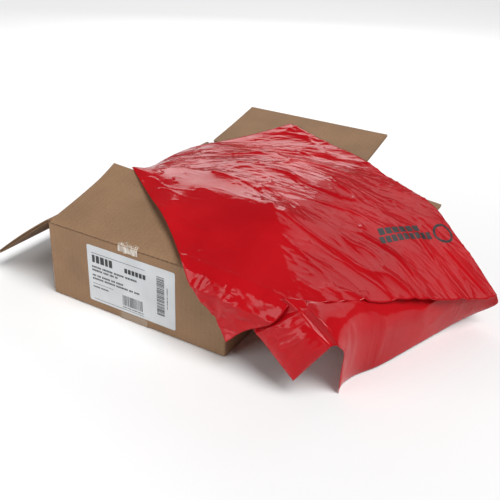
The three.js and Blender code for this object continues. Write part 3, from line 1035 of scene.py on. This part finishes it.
def ladder(left, low, length, depth, upright, seed):
    """A run of parallel bars of mixed widths."""
    draw = np.random.default_rng(seed)
    bars = []
    place = 0.0
    while place < length - 2.0:
        width = draw.choice([0.5, 0.9, 1.4])
        if upright:
            bars.append((left + place, low, width, depth))
        else:
            bars.append((left, low + place, depth, width))
        place += width + draw.choice([0.5, 0.8, 1.2])
    return bars


# What is printed on the label, in millimetres from its lower left corner: (right, up, width, height)
LABEL_BLOCKS = [(8, 81, 96, 0.7), (8, 30.5, 38, 0.6), (8, 4, 92, 0.6),
                (9, 66, 5, 12), (16, 66, 6, 12), (24, 66, 7, 12), (33, 66, 5, 12), (40, 66, 6, 12)]
LABEL_BLOCKS += [(68 + 6.4 * index, 66, 5.0, 7.5) for index in range(6)]

# The label's rows of small blocks, each with the seed of its own word lengths
LABEL_ROWS = [(8, 57, 82, 3.2, 5), (8, 51.5, 48, 3.2, 8), (8, 43, 60, 3.0, 11),
              (8, 37.5, 88, 3.0, 13), (8, 24, 28, 2.4, 17), (62, 7, 38, 1.6, 19)]


def add_label_print():
    left, low = LABEL_LOW[0], LABEL_LOW[2]
    ink = plain_finish("label_ink", (0.018, 0.018, 0.02, 1.0), 0.5)
    bars = [(left + right, low + up, width, height) for right, up, width, height in LABEL_BLOCKS]
    for right, up, width, height, seed in LABEL_ROWS:
        bars += text_like(left + right, low + up, width, height, seed)
    bars += ladder(left + 62, low + 11, 38, 17, True, 23)
    bars += ladder(left + 124, low + 17, 64, 13, False, 29)
    bars += ladder(left + 141, low + 30, 36, 1.6, False, 31)
    printed = add_bars("label_print", bars, LABEL_LOW[1] - 0.02, 0.06, ink)
    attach(printed, "carton")


def torn_tape_shape(s, t):
    """A ragged strip of tape that bridges the front fold, with its lower edge on the wall."""
    low, high = (np.array(corner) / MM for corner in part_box("torn_tape"))
    x = low[0] + s * (high[0] - low[0])
    edge = np.array([noise.noise((a / 3.5, 2.5, 0.0)) + 0.5 * noise.noise((a / 1.1, 5.5, 0.0)) for a in x])
    reach = 5.0 + 3.5 * edge
    down = (high[2] - low[2]) + 1.5 * edge
    v = -down + t * (down + reach)
    lift = 0.35 + 0.5 * np.abs(np.sin(x * 0.9)) * (t > 0.8)
    y = np.where(v < 0, -HALF_LENGTH - lift, -HALF_LENGTH + v * math.cos(FRONT_RISE) - lift * 0.3)
    z = np.where(v < 0, WALL_TOP + v + 0.5, WALL_TOP + 1.4 + v * 0.55 + lift)
    return np.stack([x, y, z], axis=1)


def add_tape():
    give("bottom_tape", clear_tape("tape_on_board"))
    torn = add_grid("torn_tape_strip", 60, 16, torn_tape_shape, 0.15)
    glint = Shading("torn_clear_tape")
    # The pale streaks in the torn tape's colour are painted glints.
    painted_glint_streak = glint.noise(glint.stretched((1.0, 1.0, 0.2)), 220.0, 3.0)
    glint.link(glint.ramp(painted_glint_streak, [(0.4, (0.26, 0.19, 0.13, 1.0)), (0.62, (0.62, 0.56, 0.49, 1.0))]),
               glint.shader.inputs["Base Color"])
    glint.shader.inputs["Roughness"].default_value = 0.12
    glint.shader.inputs["Coat Weight"].default_value = 0.7
    torn.data.materials.append(glint.material)
    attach(torn, "carton")
    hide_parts("torn_tape")


# The camera stands where the photograph was taken. Places of camera and lights are in metres.
CAMERA_PLACE = (0.5483, -0.8803, 0.5733)
CAMERA_RIGHT = (0.8652, 0.49976, 0.04083)
CAMERA_UP = (-0.2687, 0.39335, 0.87925)
CAMERA_BACK = (0.42335, -0.7717, 0.47461)
FOCAL_MM = 50.0
SENSOR_MM = 36.0
VERTICAL_SHIFT = 0.0115


def add_camera():
    bpy.ops.object.camera_add()
    camera = bpy.context.object
    camera.name = "photo_camera"
    camera.data.lens = FOCAL_MM
    camera.data.sensor_width = SENSOR_MM
    camera.data.shift_y = VERTICAL_SHIFT
    turn = Matrix((CAMERA_RIGHT, CAMERA_UP, CAMERA_BACK)).transposed()
    camera.matrix_world = Matrix.Translation(CAMERA_PLACE) @ turn.to_4x4()
    bpy.context.scene.camera = camera


def add_light(name, place, target, size, power):
    bpy.ops.object.light_add(type="AREA", location=place)
    light = bpy.context.object
    light.name = name
    light.data.shape = "RECTANGLE"
    light.data.size, light.data.size_y = size
    light.data.energy = power
    aim = Vector(target) - Vector(place)
    light.rotation_euler = aim.to_track_quat("-Z", "Y").to_euler()


# The floor, the light of the air, and the sun that is the key light
FLOOR_SIZE = 60.0
FLOOR_DROP = 0.0006
FLOOR_WHITE = (0.9, 0.9, 0.9, 1.0)
AIR_STRENGTH = 0.12
KEY_POWER = 2.9
KEY_SPREAD = math.radians(34)
KEY_DIRECTION = (-0.5, 0.12, -0.84)

# Each softbox: its name, its place, what it points at, its width and height, and its power in watts
SOFTBOXES = [
    ("back_softbox", (-0.95, 1.75, 1.0), (0.05, 0.1, 0.12), (1.2, 0.8), 9.0),
    ("wide_back_softbox", (0.35, 2.2, 1.7), (0.1, 0.1, 0.12), (2.2, 1.2), 9.0),
    ("left_softbox", (-0.9, -1.73, 0.55), (0.1, -0.235, 0.06), (1.4, 0.95), 18.0),
]


def add_studio():
    bpy.ops.mesh.primitive_plane_add(size=FLOOR_SIZE, location=(0.0, 0.0, -FLOOR_DROP))
    floor = bpy.context.object
    floor.name = "studio_floor"
    paint = bpy.data.materials.new("studio_white")
    paint.use_nodes = True
    shader = paint.node_tree.nodes["Principled BSDF"]
    shader.inputs["Base Color"].default_value = FLOOR_WHITE
    shader.inputs["Roughness"].default_value = 0.9
    shader.inputs["Specular IOR Level"].default_value = 0.1
    floor.data.materials.append(paint)
    world = bpy.data.worlds.new("studio_air")
    bpy.context.scene.world = world
    world.use_nodes = True
    world.node_tree.nodes["Background"].inputs["Color"].default_value = WHITE
    world.node_tree.nodes["Background"].inputs["Strength"].default_value = AIR_STRENGTH
    bpy.ops.object.light_add(type="SUN", location=(0.0, 0.0, 3.0))
    sun = bpy.context.object
    sun.name = "key"
    sun.data.energy = KEY_POWER
    sun.data.angle = KEY_SPREAD
    sun.rotation_euler = Vector(KEY_DIRECTION).to_track_quat("-Z", "Y").to_euler()
    for softbox in SOFTBOXES:
        add_light(*softbox)


give("shipping_label", label_paper())
add_bag()
add_marks()
add_carton()
add_stack()
add_tape()
add_label_print()
add_camera()
add_studio()
bpy.context.scene.view_settings.view_transform = "Standard"
